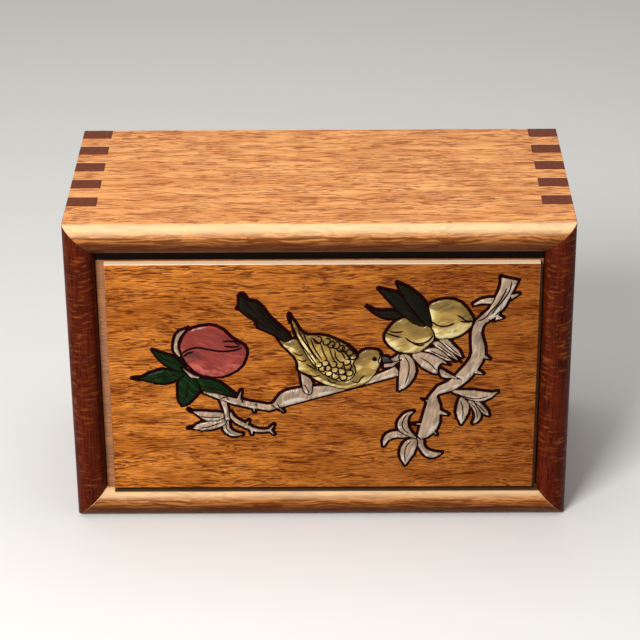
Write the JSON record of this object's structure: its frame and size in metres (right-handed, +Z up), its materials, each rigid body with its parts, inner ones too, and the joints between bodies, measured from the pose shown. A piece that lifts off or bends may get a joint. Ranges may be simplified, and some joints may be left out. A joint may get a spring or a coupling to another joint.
{
  "type": "trinket chest",
  "caption": "Table-top wooden chest with rounded front edges and a lift-out front, inlaid in shell with a bird on a peach branch, that closes small drawers.",
  "frame": {"origin": "on the ground, under the middle of the case's footprint", "axes": "+X to the right as one faces the chest, +Y from the front to the back, +Z up"},
  "size_m": [0.25, 0.1274, 0.1625],
  "materials": {
    "case_wood": "satin lacquered rosewood-like hardwood",
    "panel_wood": "plain oiled hardwood",
    "front_wood": "satin lacquered golden-brown hardwood, grain across",
    "drawer_wood": "plain pale hardwood",
    "mastic": "dark brown mastic, dull",
    "pink_shell": "dyed mother-of-pearl, polished",
    "gold_shell": "golden mother-of-pearl, polished",
    "silver_shell": "silver-grey mother-of-pearl, polished",
    "green_shell": "very dark green dyed shell, polished",
    "brass": "turned brass, lightly aged"
  },
  "bodies": {
    "case": {"top_board": "case_wood", "bottom_board": "case_wood", "left_board": "case_wood", "right_board": "case_wood", "back_panel": "panel_wood", "shelf": "panel_wood", "divider": "panel_wood"},
    "front": {"lift_out_front": "front_wood", "mastic_bed": "mastic", "bird_wing": "gold_shell", "bird_body": "gold_shell", "bird_tail": "green_shell", "red_peach": "pink_shell", "peach_rim": "silver_shell", "peach_leaves": "green_shell", "crown_leaves": "green_shell", "gold_peaches": "gold_shell", "middle_leaves": "silver_shell", "right_branch": "silver_shell", "left_branch": "silver_shell", "left_spray": "silver_shell", "right_spray": "silver_shell", "foot_spray": "silver_shell"},
    "lower_drawer": {"lower_drawer_front": "front_wood", "lower_drawer_back": "drawer_wood", "lower_drawer_bottom": "drawer_wood", "lower_drawer_left_side": "drawer_wood", "lower_drawer_right_side": "drawer_wood", "lower_drawer_knob": "brass"},
    "upper_left_drawer": {"upper_left_drawer_front": "front_wood", "upper_left_drawer_back": "drawer_wood", "upper_left_drawer_bottom": "drawer_wood", "upper_left_drawer_left_side": "drawer_wood", "upper_left_drawer_right_side": "drawer_wood", "upper_left_drawer_knob": "brass"},
    "upper_right_drawer": {"upper_right_drawer_front": "front_wood", "upper_right_drawer_back": "drawer_wood", "upper_right_drawer_bottom": "drawer_wood", "upper_right_drawer_left_side": "drawer_wood", "upper_right_drawer_right_side": "drawer_wood", "upper_right_drawer_knob": "brass"}
  },
  "joints": [
    {"name": "front_slide", "type": "slide", "parent": "case", "child": "front", "axis": [0, -1, 0], "range_m": [0, 0.2]},
    {"name": "lower_drawer_slide", "type": "slide", "parent": "case", "child": "lower_drawer", "axis": [0, -1, 0], "range_m": [0, 0.075]},
    {"name": "upper_left_drawer_slide", "type": "slide", "parent": "case", "child": "upper_left_drawer", "axis": [0, -1, 0], "range_m": [0, 0.075]},
    {"name": "upper_right_drawer_slide", "type": "slide", "parent": "case", "child": "upper_right_drawer", "axis": [0, -1, 0], "range_m": [0, 0.075]}
  ],
  "couplings": [
    {"joint": "lower_drawer_slide", "follows": "front_slide", "ratio": 0.375},
    {"joint": "upper_left_drawer_slide", "follows": "front_slide", "ratio": 0.375},
    {"joint": "upper_right_drawer_slide", "follows": "front_slide", "ratio": 0.375}
  ]
}
